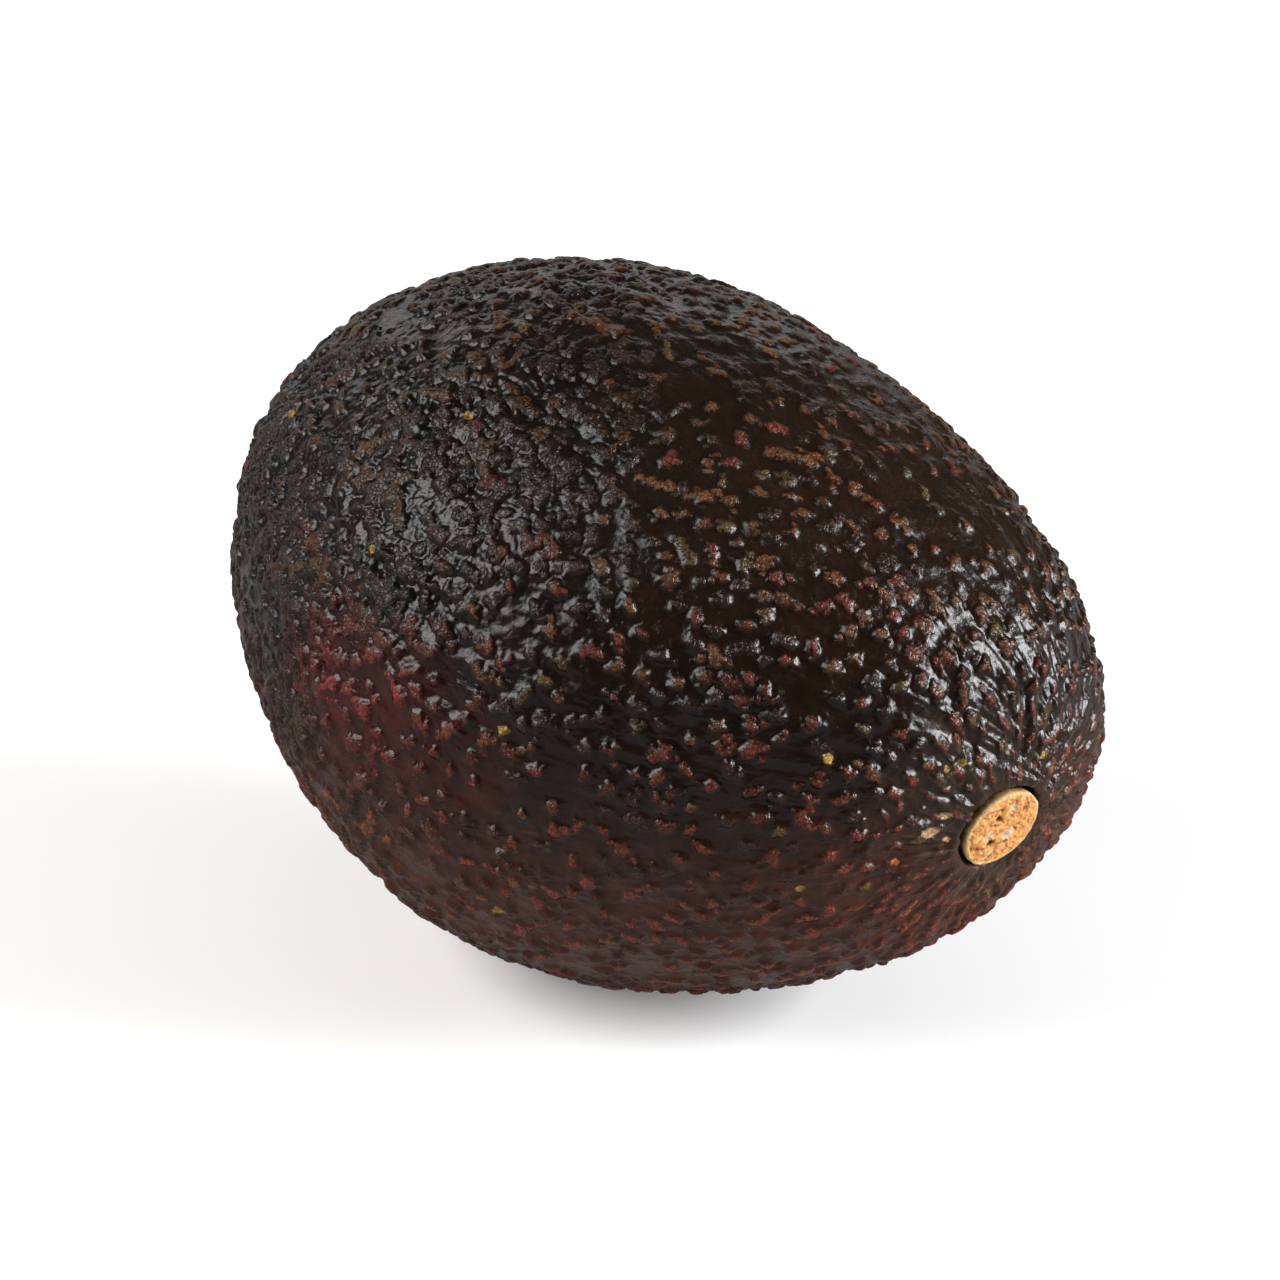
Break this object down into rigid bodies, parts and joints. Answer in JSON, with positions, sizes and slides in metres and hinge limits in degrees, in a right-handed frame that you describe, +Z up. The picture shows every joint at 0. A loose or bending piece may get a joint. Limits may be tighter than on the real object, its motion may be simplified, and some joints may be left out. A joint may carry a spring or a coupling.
{
  "type": "avocado",
  "caption": "Whole ripe avocado lying on its side, with dark pebbled skin and a corky stem button in its socket; it rests on a small flat spot.",
  "frame": {"origin": "middle of the flat spot that the fruit rests on", "axes": "+X level towards the stem end, +Y level across the fruit, +Z up"},
  "size_m": [0.0967, 0.0701, 0.0697],
  "materials": {
    "skin": "near-black purplish-brown avocado skin: waxy satin between low rounded pebbles, the pebbles' tops dull reddish and olive brown",
    "cork": "dry corky stem scar, tan to orange-brown with grey patches, matt and pitted"
  },
  "bodies": {
    "root": {"fruit": "skin", "stem_button": "cork"}
  },
  "joints": []
}
